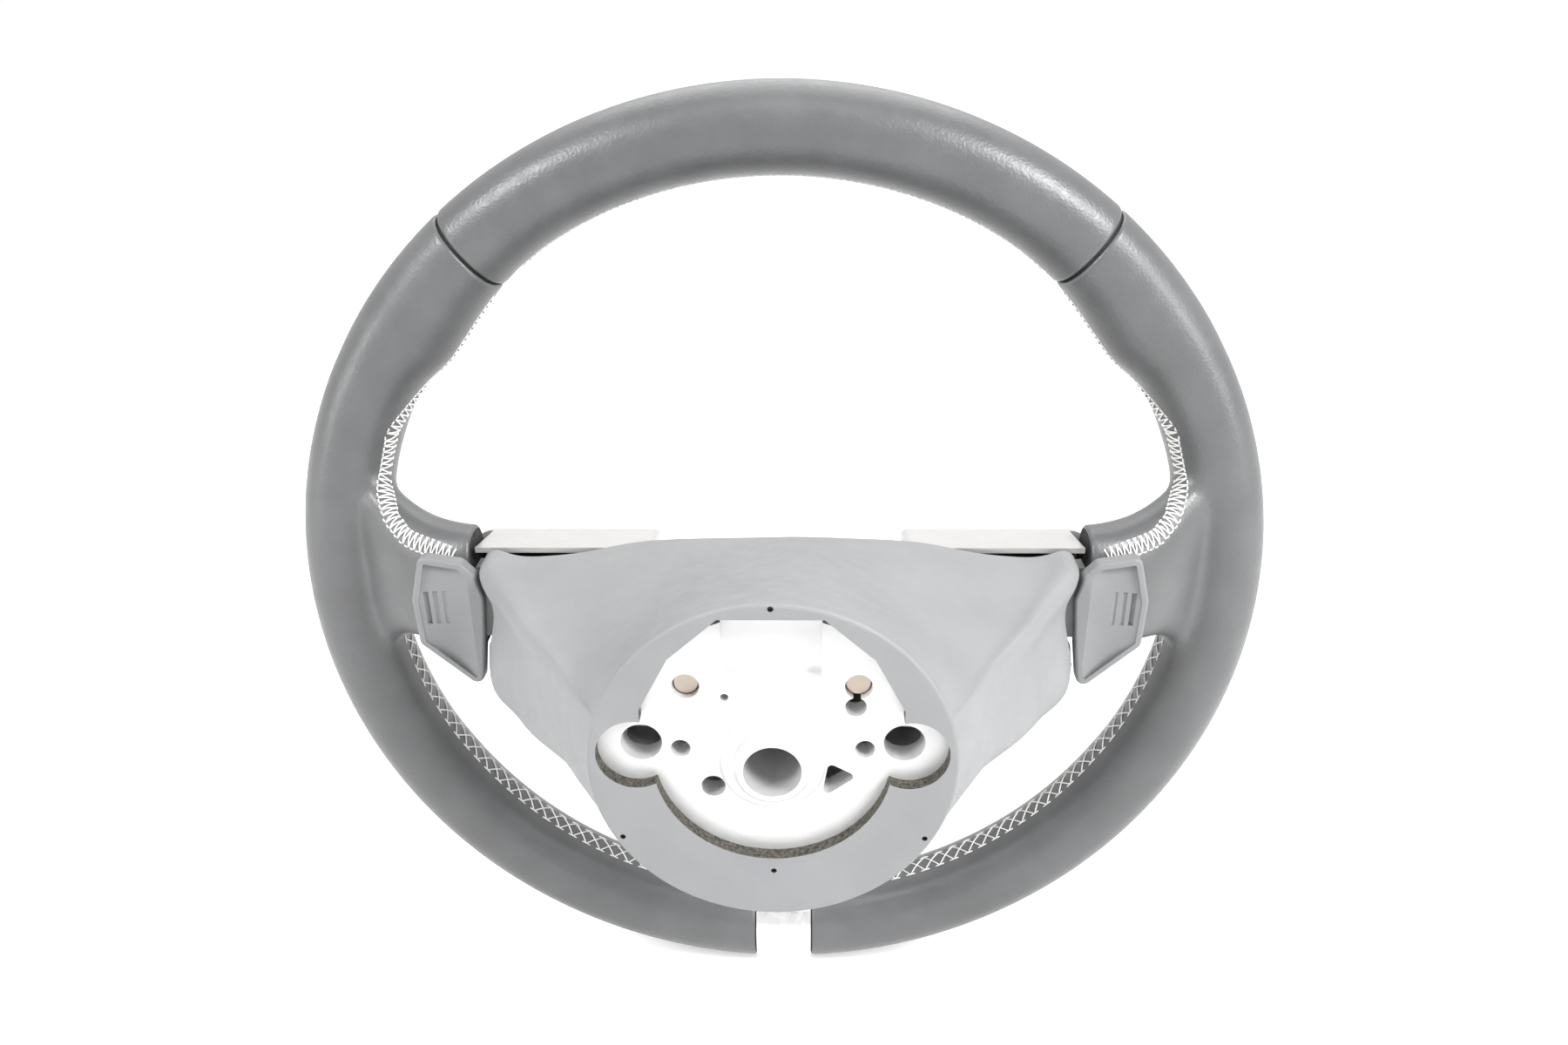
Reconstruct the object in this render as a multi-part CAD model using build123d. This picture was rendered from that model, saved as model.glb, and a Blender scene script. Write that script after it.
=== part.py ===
from build123d import *
import os
from math import cos, exp, hypot, pi, radians, sin

# A car steering wheel with a leather rim, three spokes and shift paddles.
# Millimetres, +Z up, +X to the driver's right, +Y towards the steering column.
# Shapes are drawn with Y = 0 in the plane of the rim. On export they move, so that
# the origin lies on the column axis, at the rear face of the hub bush.

# Rim
RIM_DIAMETER = 375.0
GRIP_TOP = 30.0  # radial thickness at the top
GRIP_BOTTOM = 35.0
GRIP_DEPTH = 34.0  # front to back
LEATHER = 1.4
SEAM_ANGLE = 39.0  # from the top to the seam on each side
SEAM_GAP = 1.0
THUMB_ANGLE = 51.0
THUMB_RISE = 4.5
CORE = 13.0  # steel ring, a channel open to the rear
CLASP_WIDTH = 24.4

# Side spokes
ROOT_X = 112.0  # inner end of the leather
ROOT_SET = 27.5  # middle of the spoke behind the rim
ROOT_DEPTH = 25.0
SPOKE_LOW = -10.0
SPOKE_HIGH = 38.0
ARM = 8.0
ARM_HEIGHT = 20.0

# Hub
RING_R = 57.0
RING_Y = 124.5
LIP = 5.0  # depth of the opening in the ring, down to the hub plate
PLATE = 8.0
BUSH_PROUD = 1.5  # rear end of the bush, beyond the ring
BUSH_R = 12.0
BUSH_LENGTH = 26.0
COLLAR_R = 16.5
BORE_R = 9.0

# Rear cover
WALL = 2.5
WING_X = 103.5
WING_FRONT = 38.0
WING_REAR = 48.0
WING_LOW = -18.5
COVER_TOP = 39.3
COVER_DIP = 31.6  # top edge over the side spokes
COVER_LOW = -62.0
BARREL_FRONT = 58.0

# Driver's pad and the module behind it
PAD_WIDTH = 126.0
PAD_TOP = 31.0
PAD_BOTTOM = -64.0
PAD_FRONT = 10.0
PAD_REAR = 36.0
PAD_WALL = 3.0
MODULE_DEPTH = 40.0  # front of the pad to the module's floor
TRAY = 2.0
INFLATOR_R = 24.0
POST_R = 8.0
HORN_TRAVEL = 1.5

# Switches in the side spokes
TRIM_X = 127.0
TRIM_FRONT = 6.0
TRIM = 3.5
TRIM_TOP = 34.0
TRIM_DRAFT = 5.5  # fall of the top wall towards the front
SWITCH_X = 90.0
SWITCH_MID = 8.0
SWITCH_WIDTH = 38.0
SWITCH_HEIGHT = 32.0
KEY_STEP = 11.8
KEY_GAP = 0.4
KEY_TRAVEL = 1.2

# Paddles
PADDLE_X = 130.5
PADDLE_TOP = 36.6
PADDLE_LOW = -17.7
PADDLE_FRONT = 45.0
PADDLE_REAR = 50.0
PADDLE_GAP = 1.3  # to the cover's outer end
PIVOT_X = 90.0
PIVOT_Y = 46.5
PIN_R = 1.5

RIM_R = RIM_DIAMETER / 2
CORE_R = RIM_R - GRIP_TOP / 2 - 1
SPOKE_MID = (SPOKE_LOW + SPOKE_HIGH) / 2
PLATE_R = RING_R - 6.5
PLATE_Y = RING_Y - LIP
PLATE_FRONT = PLATE_Y - PLATE
BUSH_Y = RING_Y + BUSH_PROUD
MODULE_Y = PAD_FRONT + MODULE_DEPTH


def slab(sketch, front, rear):
    """A sketch drawn in X and Z, made solid from Y = front to Y = rear."""
    plane = Plane((0, rear, 0), x_dir=(1, 0, 0), z_dir=(0, -1, 0))
    return extrude(plane * sketch, amount=rear - front, dir=(0, -1, 0))


def block(x0, x1, y0, y1, z0, z1):
    middle = Pos((x0 + x1) / 2, (y0 + y1) / 2, (z0 + z1) / 2)
    return middle * Box(x1 - x0, y1 - y0, z1 - z0)


def rod(x, z, radius, front, rear):
    return slab(Pos(x, z) * Circle(radius), front, rear)


def left_of(shape):
    return mirror(shape, about=Plane.YZ)


def bend(value, power):
    """A signed power, for rounded sections."""
    return abs(value) ** (2 / power) * (1 if value >= 0 else -1)


def rounded(power, count=16):
    """Points of a rounded square from -1 to 1, as pairs."""
    turns = [2 * pi * k / count for k in range(count)]
    return [(bend(cos(t), power), bend(sin(t), power)) for t in turns]


def closed(points):
    return Wire([Spline(*points, periodic=True)])


def pieced(points, count):
    """The same closed curve in pieces, so that a loft through it has smaller faces."""
    whole = Spline(*points, periodic=True)
    starts = [points[round(k * len(points) / count)] for k in range(1, count)]
    cuts = [0] + [whole.param_at_point(start) for start in starts] + [1]
    return Wire([whole.trim(first, last) for first, last in zip(cuts, cuts[1:])])


# Rim and leather


def grip(angle):
    """Half the radial thickness of the rim, at an angle from the top."""
    low = (1 - cos(radians(angle))) / 2
    return (GRIP_TOP + (GRIP_BOTTOM - GRIP_TOP) * low) / 2


def thumb(angle):
    """How far the thumb rest stands inwards."""
    away = abs(angle) - THUMB_ANGLE
    spread = 12.0 if away < 0 else 5.0
    return THUMB_RISE * exp(-((away / spread) ** 2))


def rim_wire(angle, inset):
    half = grip(angle)
    points = []
    for u, v in rounded(2.2, 12):
        reach = half - inset + (thumb(angle) if u < 0 else 0)
        radius = RIM_R - half + reach * u
        depth = (GRIP_DEPTH / 2 - inset) * v
        points.append((radius * sin(radians(angle)), depth, radius * cos(radians(angle))))
    return closed(points)


def rim_arc(angles, inset):
    return Solid.make_loft([rim_wire(angle, inset) for angle in angles])


def root_mid(t):
    """Middle depth of a side spoke, from its inner end to the rim."""
    return ROOT_SET * (1 - max(t, 0) ** 1.7)


def root_x(t):
    return ROOT_X + t * (RIM_R - 25.5 - ROOT_X)


def root_wire(t, inset):
    flare = max(t, 0)
    low = SPOKE_LOW - 24 * flare**6 + inset
    high = SPOKE_HIGH + 24 * flare**2.5 - inset
    half = ROOT_DEPTH / 2 + 2 * sin(pi * flare) - inset
    middle = (low + high) / 2
    return closed(
        [(root_x(t), root_mid(t) + half * u, middle + (high - middle) * v) for u, v in rounded(3, 16)]
    )


def root(start, inset):
    return Solid.make_loft([root_wire(t, inset) for t in (start, 0.3, 0.55, 0.8, 1)])


top_angles = [SEAM_ANGLE * k / 3 for k in range(-3, 4)]
bend_angles = [THUMB_ANGLE + step for step in (-6, 0, 3.5, 8)]
low_angles = [bend_angles[-1] + (180 - bend_angles[-1]) * k / 8 for k in range(1, 8)] + [174, 180]
side_angles = [SEAM_ANGLE] + bend_angles + low_angles

top_skin = rim_arc(top_angles, 0)
top_inside = rim_arc(top_angles, LEATHER)
side_skin = rim_arc(side_angles, 0) + root(0, 0)
side_inside = rim_arc(side_angles, LEATHER) + root(-0.06, LEATHER)
side_shell = side_skin - side_inside

seam_middle = Rotation(0, SEAM_ANGLE, 0) * Pos(0, 0, RIM_R)
seam_right = seam_middle * Box(SEAM_GAP, 2 * GRIP_DEPTH, 3 * GRIP_TOP)
clasp_half = CLASP_WIDTH / 2
clasp_gap = block(-clasp_half - 0.3, clasp_half + 0.3, -60, 60, -RIM_R - 20, -RIM_R + 60)
clasp_zone = block(-clasp_half, clasp_half, -60, 60, -RIM_R - 20, -RIM_R + 60)

leather_top = top_skin - top_inside - seam_right - left_of(seam_right)
leather_right = side_shell - seam_right - clasp_gap
leather_left = left_of(leather_right)

# Casting


def lower_mid(s):
    """Middle depth of the lower spoke, from the hub to the rim."""
    return (WING_FRONT + 17) * (1 - s) ** 1.6


def lower_z(s):
    return PAD_BOTTOM - 2.5 - s * (RIM_R - 27.5 + PAD_BOTTOM - 2.5)


PAD_SIDE = PAD_WIDTH / 2
side_line = [(CORE_R, 0)]
side_line += [(root_x(t), root_mid(t)) for t in (1, 0.8, 0.55, 0.3, 0)]
side_line += [(PAD_SIDE + 21, WING_FRONT - 7), (PAD_SIDE + 9, WING_FRONT + 8)]
side_line += [(PAD_SIDE + 3, MODULE_Y + 12), (PLATE_R - 4, PLATE_FRONT - 8)]
side_line += [(PLATE_R - 9, PLATE_Y - PLATE / 2)]
side_arm = extrude(trace(Polyline(*side_line), ARM), amount=ARM_HEIGHT / 2, both=True)
side_arm = Pos(0, 0, SPOKE_MID) * side_arm
pivot_seat = WING_FRONT - 1
switch_seat = TRIM_FRONT + 15
arm_low = SPOKE_MID - ARM_HEIGHT / 2
arm_high = SPOKE_MID + ARM_HEIGHT / 2
side_arm += block(PIVOT_X - 7, PIVOT_X + 9, pivot_seat - 7, pivot_seat, arm_low, arm_high)
side_arm += block(PIVOT_X + 3, PIVOT_X + 11, switch_seat, switch_seat + 9, SPOKE_MID - 5, SPOKE_MID + 5)

lower_line = [(0, -CORE_R)]
lower_line += [(lower_mid(s), lower_z(s)) for s in (1, 0.75, 0.5, 0.2, 0)]
lower_line += [(MODULE_Y + 20, PAD_BOTTOM + 6), (MODULE_Y + 34, 7 - PLATE_R)]
lower_line += [(PLATE_Y - PLATE / 2, 7 - PLATE_R)]
lower_arm = extrude(Plane.YZ * trace(Polyline(*lower_line), ARM), amount=9, both=True)


def opening(grow):
    """The opening in the ring of the cover, towards the column."""
    shape = Pos(0, 2.5) * Circle(36.8 + grow)
    for side in (-1, 1):
        shape += Pos(side * 42, 5) * Circle(12 + grow)
    top = 51.7 + grow
    wide = 39.8 + grow
    half = [(15.5 + grow / 2, top), (30.5 + grow, 38.5 + grow / 2), (wide, 21), (wide, 0)]
    return shape + Polygon(*half, *[(-x, z) for x, z in reversed(half)], align=None)


guide_spots = [(26.0, 26.5), (-26.0, 26.5), (24.0, -36.0), (-24.0, -36.0)]
screw_spots = [(40.0, -22.0), (-40.0, -22.0), (13.5, -44.5), (-13.5, -44.5)]
plain_holes = [(40.4, 6.5, 6.4), (-40.4, 6.5, 6.4), (28.4, 4.2, 3.1), (-28.4, 4.2, 3.1)]
plain_holes += [(18.7, -9.8, 3.8), (-25.3, 19.4, 3.3), (14.4, 22.6, 1.3)]

ring_space = revolve(Pos(CORE_R, 0) * Rectangle(CORE, CORE), Axis.Y)
rim_core = ring_space - revolve(Pos(CORE_R, CORE / 4) * Rectangle(CORE - 6, CORE / 2), Axis.Y)

tower = MODULE_Y + 18
bush_end = tower + 22
hub_shape = Circle(PLATE_R)
for side in (-1, 1):
    hub_shape += Pos(side * 42, 5) * Circle(13.5)
armature = slab(hub_shape, PLATE_FRONT, PLATE_Y) + side_arm + left_of(side_arm) + lower_arm
armature += rod(0, 0, BUSH_R + 5, BUSH_Y - BUSH_LENGTH + 4, PLATE_FRONT)
for x, z in guide_spots:
    armature += rod(x, z, POST_R, tower + 6, PLATE_FRONT)
armature -= ring_space
armature -= rod(0, 0, BUSH_R, PAD_FRONT, RING_Y)
armature -= slab(Pos(0, 39.5) * Rectangle(30, 19), PLATE_Y - 3, PLATE_Y + 5)
window = fillet(Polygon((-17.2, -0.9), (-26.2, -6), (-15, -14.2), align=None).vertices(), 1.5)
armature -= slab(window, PLATE_FRONT - 5, PLATE_Y + 5)
for x, z, radius in plain_holes:
    armature -= rod(x, z, radius, PLATE_FRONT - 5, PLATE_Y + 5)
for x, z in guide_spots:
    armature -= rod(x, z, 5, tower, bush_end)
    armature -= rod(x, z, 3, tower, PLATE_Y)
    armature -= rod(x, z, 4.2, PLATE_Y - 5, PLATE_Y + 5)
for x, z in screw_spots:
    armature -= rod(x, z, 1.8, PLATE_FRONT - 5, PLATE_Y + 5)

hub_bush = rod(0, 0, BUSH_R, BUSH_Y - BUSH_LENGTH, BUSH_Y)
hub_bush = chamfer(hub_bush.edges().group_by(Axis.Y)[-1], 1.2)
collar = rod(0, 0, COLLAR_R, PLATE_Y, PLATE_Y + LIP / 2)
hub_bush += chamfer(collar.edges().group_by(Axis.Y)[-1], 0.8)
hub_bush -= rod(0, 0, BORE_R, BUSH_Y - BUSH_LENGTH - 5, BUSH_Y + 5)

# Foam
beyond = block(0, ROOT_X, -60, 80, -60, 90)
side_foam = side_inside - beyond
rim_foam = top_inside + side_foam + left_of(side_foam) - armature - rim_core

# Lower spoke trims


def lower_band(width, half_top, half_low):
    """A bar round the lower arm, narrower towards the rim."""
    line = [(lower_mid(s), lower_z(s)) for s in (0, 0.2, 0.5, 0.75, 1)]
    line = [(line[0][0] + 16, line[0][1] + 12)] + line
    bar = extrude(Plane.YZ * trace(Polyline(*line), width), amount=half_top, both=True)
    taper = [(half_top, lower_z(0)), (half_low, lower_z(0.8)), (half_low, lower_z(1) - 20)]
    taper += [(-x, z) for x, z in reversed(taper)]
    return bar & slab(Polygon(*taper, align=None), -60, 120)


def rim_foot(inset):
    """The rim at its lowest point, between the ends of the leather."""
    arc = revolve(Face(rim_wire(180, inset)), Axis.Y, revolution_arc=16)
    return Rotation(0, -8, 0) * arc


lower_hollow = lower_band(18.4, 20, clasp_half - 1.8)
lower_shell = lower_band(22, 22, clasp_half) - rim_foot(0)
lower_shell += (rim_foot(0) - rim_foot(LEATHER - 0.5)) & clasp_zone
lower_shell -= lower_hollow
split_line = lower_line[:6] + [(-80, lower_z(0)), (-80, -RIM_R - 20), (0, -RIM_R - 20)]
front_half = extrude(Plane.YZ * Polygon(*split_line, align=None), amount=40, both=True)
lower_trim = lower_shell & front_half
rim_clasp = lower_shell - front_half

# Rear cover


def ease(value):
    """A smooth step from 0 to 1."""
    share = min(max(value, 0), 1)
    return share * share * (3 - 2 * share)


# Right half of the cover's front edge, from the top to the bottom
edge_right = [
    (0, COVER_TOP),
    (28, COVER_TOP - 0.6),
    (54, COVER_TOP - 2.7),
    (70, COVER_DIP + 1.6),
    (84, COVER_DIP),
    (97, COVER_DIP + 1),
    (WING_X - 0.5, COVER_DIP + 2.2),
    (WING_X + 2.4, COVER_DIP - 0.5),
    (WING_X, 20),
    (WING_X + 1.4, 5),
    (WING_X + 3.6, -10),
    (WING_X + 2.6, WING_LOW),
    (WING_X - 7, WING_LOW - 8),
    (82, WING_LOW - 16),
    (66, WING_LOW - 27),
    (45, COVER_LOW + 6),
    (22, COVER_LOW + 1),
    (0, COVER_LOW),
]
cover_edge = edge_right + [(-x, z) for x, z in reversed(edge_right[1:-1])]


def cover_wire(depth, inset):
    """Section of the cover, from the winged front edge to the round ring."""
    along = max(depth - WING_FRONT, 0) / (RING_Y - WING_FRONT)
    aside = max(depth - WING_REAR, 0) / (RING_Y - WING_REAR)
    aside = 0.75 * aside + 0.25 * ease(aside)
    outline = []
    for x, z in cover_edge:
        reach = hypot(x, z)
        share = along + (aside - along) * abs(x) / reach
        scale = 1 + (RING_R / reach - 1) * share
        outline.append((x * scale, z * scale))
    points = []
    for (x0, z0), (x, z), (x1, z1) in zip(outline[-1:] + outline[:-1], outline, outline[1:] + outline[:1]):
        span = hypot(x1 - x0, z1 - z0)
        points.append((x + inset * (z1 - z0) / span, depth, z - inset * (x1 - x0) / span))
    return pieced(points, 6)


def cover_form(front, rear, inset):
    steps = (0.06, 0.13, 0.24, 0.4, 0.6, 0.78, 0.91)
    depths = [front] + [WING_FRONT + step * (rear - WING_FRONT) for step in steps] + [rear]
    return Solid.make_loft([cover_wire(depth, inset) for depth in depths])


cover_skin = cover_form(WING_FRONT, RING_Y, 0)
cover_skin = fillet(cover_skin.edges().group_by(Axis.Y)[-1], 1.2)
rear_cover = cover_skin - cover_form(WING_FRONT - 3, RING_Y - WALL, WALL)
rear_cover += slab(opening(2.2), PLATE_Y + 0.3, RING_Y - 1)
for x, z in screw_spots:
    rear_cover += rod(x, z, 4.2, PLATE_Y, RING_Y - 1)
rear_cover -= slab(opening(0), PLATE_Y - 10, RING_Y + 5)
rear_cover -= block(-PAD_SIDE - 3, PAD_SIDE + 3, 0, BARREL_FRONT, 2 * COVER_LOW, WING_LOW - 5)
rear_cover -= block(-12, 12, 0, MODULE_Y + 36, 2 * COVER_LOW, 20 - RING_R)
lever_slot = block(WING_X - 8, WING_X + 8, 0, PADDLE_REAR + 1, arm_low - 4, arm_high + 4)
rear_cover -= lever_slot + left_of(lever_slot)
for x, z in [(0, 55.2), (47.6, -26), (-47.6, -26), (0, -39.2)]:
    rear_cover -= rod(x, z, 0.9, RING_Y - 1.5, RING_Y + 5)
screw_end = PLATE_Y + LIP - 1.8
for x, z in screw_spots:
    rear_cover -= rod(x, z, 1.8, PLATE_Y - 1, screw_end)

cover_screws = [
    rod(x, z, 1.8, PLATE_FRONT, screw_end) + rod(x, z, 3.4, PLATE_FRONT - 2.4, PLATE_FRONT)
    for x, z in screw_spots
]

# Driver's pad, horn and module


def pad_block(inset, front, rear):
    height = PAD_TOP - PAD_BOTTOM
    middle = (PAD_TOP + PAD_BOTTOM) / 2
    outline = RectangleRounded(PAD_WIDTH - 2 * inset, height - 2 * inset, 38 - inset)
    return slab(Pos(0, middle) * outline, front, rear)


def domed(body, radius):
    return fillet(body.faces().sort_by(Axis.Y)[0].edges(), radius)


pad_hollow = domed(pad_block(PAD_WALL, PAD_FRONT + PAD_WALL, PAD_REAR + 5), 11)
pad_cover = domed(pad_block(0, PAD_FRONT, PAD_REAR), 14) - pad_hollow
pad_cover -= rod(0, -12, 20, PAD_FRONT - 5, PAD_FRONT + 0.8)
tray_front = PAD_FRONT + 18
module_plate = pad_block(PAD_WALL + 0.2, tray_front, MODULE_Y + TRAY)
module_plate -= pad_block(PAD_WALL + 0.2 + TRAY, tray_front - 5, MODULE_Y)
inflator = rod(0, -6, INFLATOR_R, MODULE_Y + TRAY, MODULE_Y + TRAY + 26)
inflator = fillet(inflator.edges().group_by(Axis.Y)[-1], 5)
airbag_cushion = domed(pad_block(PAD_WALL + 6, PAD_FRONT + PAD_WALL, MODULE_Y), 9)

guide_bolts = []
guide_bushes = []
horn_contacts = []
horn_springs = []
floor = MODULE_Y + TRAY
for x, z in guide_spots:
    bolt = rod(x, z, 4.4, floor, tower - 1.2 - HORN_TRAVEL)
    bolt += rod(x, z, 2.5, tower - 5, PLATE_Y - 3)
    guide_bolts.append(bolt + rod(x, z, 3.6, PLATE_Y - 4.7, PLATE_Y - 2.2))
    bush = rod(x, z, 5, tower, bush_end) + rod(x, z, 9, tower + 4, tower + 6)
    guide_bushes.append(bush - rod(x, z, 2.6, tower - 5, bush_end + 5))
    horn_contacts.append(rod(x, z, 4.6, tower - 0.8, tower) - rod(x, z, 2.8, tower - 5, tower + 5))
    reach = tower + 4 - floor
    coil = Helix(pitch=reach / 4.2, height=reach - 1.4, radius=7)
    wire = Plane(coil @ 0, x_dir=(1, 0, 0), z_dir=coil % 0) * Rectangle(1.2, 1.2)
    turned = Pos(x, floor + 0.7, z) * Rotation(-90, 0, 0) * sweep(wire, coil, is_frenet=True)
    horn_springs.append(turned)

# Switches in the side spokes
pad_room = Pos(0, (PAD_TOP + PAD_BOTTOM) / 2) * RectangleRounded(
    PAD_WIDTH + 2.4, PAD_TOP - PAD_BOTTOM + 2.4, 39.2
)
trim_back = TRIM_FRONT + TRIM
trim_rear = WING_FRONT - 2


def trim_outline(top):
    corners = [(46, WING_LOW - 24), (PAD_SIDE + 7, WING_LOW - 21), (ROOT_X - 2, WING_LOW + 2)]
    corners += [(TRIM_X, SPOKE_LOW + 5), (TRIM_X, top - 7), (ROOT_X, top), (46, top)]
    return fillet(Polygon(*corners, align=None).vertices(), 3)


def trim_form(inset, front, rear):
    """A bezel whose top wall falls towards the front."""
    ends = []
    for depth in (front, rear):
        top = TRIM_TOP - TRIM_DRAFT * (trim_rear - depth) / (trim_rear - TRIM_FRONT)
        outline = trim_outline(top)
        if inset:
            outline = offset(outline, -inset)
        ends.append(Plane((0, depth, 0), x_dir=(1, 0, 0), z_dir=(0, -1, 0)) * outline)
    return loft(ends, ruled=True)


key_window = Pos(SWITCH_X, SWITCH_MID) * RectangleRounded(SWITCH_WIDTH, SWITCH_HEIGHT, 5)
bezel = trim_form(0, TRIM_FRONT, trim_rear) - trim_form(2, trim_back, trim_rear + 5)
bezel -= block(ROOT_X - 2, 200, trim_back, 60, -60, 90)
bezel -= block(0, PAD_SIDE + 13, trim_back, 60, 2 * COVER_LOW, TRIM_TOP - TRIM_DRAFT - 4)
bezel -= slab(pad_room, 0, 60)
spoke_trim_right = bezel - slab(key_window, 0, trim_back + 1)

housing_front = Pos(SWITCH_X, SWITCH_MID) * RectangleRounded(SWITCH_WIDTH - 0.6, SWITCH_HEIGHT - 0.6, 4.7)
housing = slab(housing_front, TRIM_FRONT + 1, trim_back)
housing_half = SWITCH_HEIGHT / 2 + 1.5
housing += block(
    SWITCH_X - 20, ROOT_X - 2.5, trim_back, switch_seat, SWITCH_MID - housing_half, SWITCH_MID + housing_half
)
rocker_height = SWITCH_HEIGHT - 6
key_height = SWITCH_HEIGHT - 10
rocker_room = RectangleRounded(12 + 2 * KEY_GAP, rocker_height + 2 * KEY_GAP, 3)
key_room = RectangleRounded(8.6 + 2 * KEY_GAP, key_height + 2 * KEY_GAP, 3)
housing -= slab(Pos(SWITCH_X, SWITCH_MID) * rocker_room, TRIM_FRONT - 5, TRIM_FRONT + 10)
for side in (-1, 1):
    spot = Pos(SWITCH_X + side * KEY_STEP, SWITCH_MID)
    housing -= slab(spot * key_room, TRIM_FRONT - 5, TRIM_FRONT + 10)
rocker_pin_y = TRIM_FRONT + 5.5
rocker_line = Pos(SWITCH_X, rocker_pin_y, SWITCH_MID) * Rotation(0, 90, 0)
rocker_pin_right = rocker_line * Cylinder(1, 15)
switch_housing_right = housing - rocker_pin_right

key_outline = RectangleRounded(8.6, key_height, 2.6)
key_shape = slab(key_outline, TRIM_FRONT - 2, TRIM_FRONT + 10 - KEY_TRAVEL - 0.3)
key_shape = fillet(key_shape.faces().sort_by(Axis.Y)[0].edges(), 0.8)
key_inner_right = Pos(SWITCH_X - KEY_STEP, 0, SWITCH_MID) * key_shape
key_outer_right = Pos(SWITCH_X + KEY_STEP, 0, SWITCH_MID) * key_shape
rocker_outline = Pos(SWITCH_X, SWITCH_MID) * RectangleRounded(12, rocker_height, 2.6)
rocker_right = slab(rocker_outline, TRIM_FRONT - 2.4, TRIM_FRONT + 4)
rocker_right = fillet(rocker_right.faces().sort_by(Axis.Y)[0].edges(), 0.8)
rocker_right += rocker_line * Cylinder(2.4, 11)
rocker_right -= slab(Pos(SWITCH_X, SWITCH_MID) * Rectangle(7, 1.2), TRIM_FRONT - 5, TRIM_FRONT - 1.8)
rocker_right -= rocker_line * Cylinder(1.05, 20)

# Paddles
inner = WING_X + PADDLE_GAP
paddle_outline = Polygon(
    (PADDLE_X - 4, PADDLE_TOP),
    (inner + 7, PADDLE_TOP - 2.5),
    (inner + 2.4, PADDLE_TOP - 7.5),
    (inner, 20),
    (inner + 1.4, 5),
    (inner + 4.6, PADDLE_LOW),
    (PADDLE_X, 1.7),
    (PADDLE_X + 0.5, 19.5),
    align=None,
)
paddle_outline = fillet(paddle_outline.vertices(), 3)
paddle = slab(paddle_outline, PADDLE_FRONT, PADDLE_REAR)
paddle = fillet(paddle.faces().sort_by(Axis.Y)[-1].edges(), 1.2)
scoop_r = 26.0
scoop_x = (inner + PADDLE_X) / 2 + 2
scoop = Pos(scoop_x, PADDLE_REAR + scoop_r - 1.8, 10) * Cylinder(scoop_r, 120)
paddle -= scoop & slab(offset(paddle_outline, -2.4), PADDLE_FRONT, PADDLE_REAR + 5)
for step in (-1, 0, 1):
    paddle -= Pos(scoop_x + 3 + 3.2 * step, PADDLE_REAR - 1.3, 16) * Cylinder(0.9, 13)
hinge_line = Pos(PIVOT_X, PIVOT_Y, SPOKE_MID)
paddle += block(PIVOT_X, WING_X + 8, PIVOT_Y - 2.7, PADDLE_REAR - 2.7, arm_low, arm_high)
paddle += hinge_line * Cylinder(3, ARM_HEIGHT)
paddle_right = paddle - hinge_line * Cylinder(PIN_R + 0.05, 60)

ear = block(PIVOT_X - 5, PIVOT_X + 4, pivot_seat, PIVOT_Y + 3, arm_high + 0.5, arm_high + 3)
bracket = block(PIVOT_X - 5, PIVOT_X + 13, pivot_seat, pivot_seat + 2, arm_low - 3, arm_high + 3)
bracket += ear + Pos(0, 0, -ARM_HEIGHT - 3.5) * ear
paddle_bracket_right = bracket - hinge_line * Cylinder(PIN_R, 60)
paddle_pin_right = hinge_line * Cylinder(PIN_R, ARM_HEIGHT + 6)

strip = [(PIVOT_X + 12, pivot_seat + 2.2), (PIVOT_X + 4, pivot_seat + 2.2), (PIVOT_X + 11, PIVOT_Y - 2.9)]
strip_shape = extrude(trace(Polyline(*strip), 0.4), amount=4, both=True)
paddle_spring_right = Pos(0, 0, SPOKE_MID - 5) * strip_shape
switch_x = PIVOT_X + 8
paddle_switch_right = block(
    switch_x - 3, switch_x + 3, pivot_seat + 2, pivot_seat + 4.2, SPOKE_MID + 2, SPOKE_MID + 8
)
nub = Pos(switch_x, pivot_seat + 4.6, SPOKE_MID + 5) * Rotation(90, 0, 0) * Cylinder(1.2, 0.8)
paddle_switch_right += nub

nodes = {
    "armature": armature,
    "rim_core": rim_core,
    "hub_bush": hub_bush,
    "rim_foam": rim_foam,
    "leather_top": leather_top,
    "leather_left": leather_left,
    "leather_right": leather_right,
    "rim_clasp": rim_clasp,
    "lower_trim": lower_trim,
    "rear_cover": rear_cover,
    "cover_screws": Compound(cover_screws),
    "pad_cover": pad_cover,
    "module_plate": module_plate,
    "inflator": inflator,
    "airbag_cushion": airbag_cushion,
    "guide_bolts": Compound(guide_bolts),
    "guide_bushes": Compound(guide_bushes),
    "horn_contacts": Compound(horn_contacts),
    "horn_springs": Compound(horn_springs),
}
pairs = {
    "spoke_trim": spoke_trim_right,
    "switch_housing": switch_housing_right,
    "key_inner": key_inner_right,
    "key_outer": key_outer_right,
    "rocker": rocker_right,
    "rocker_pin": rocker_pin_right,
    "paddle": paddle_right,
    "paddle_bracket": paddle_bracket_right,
    "paddle_pin": paddle_pin_right,
    "paddle_spring": paddle_spring_right,
    "paddle_switch": paddle_switch_right,
}
for name, shape in pairs.items():
    nodes[name + "_right"] = shape
    nodes[name + "_left"] = left_of(shape)

os.makedirs("parts", exist_ok=True)
for name, shape in nodes.items():
    export_step(Pos(0, -BUSH_Y, 0) * shape, f"parts/{name}.step")
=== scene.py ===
import bmesh
import bpy
from math import cos, exp, pi, radians, sin
from mathutils import Matrix, Vector
from mathutils.bvhtree import BVHTree


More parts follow.
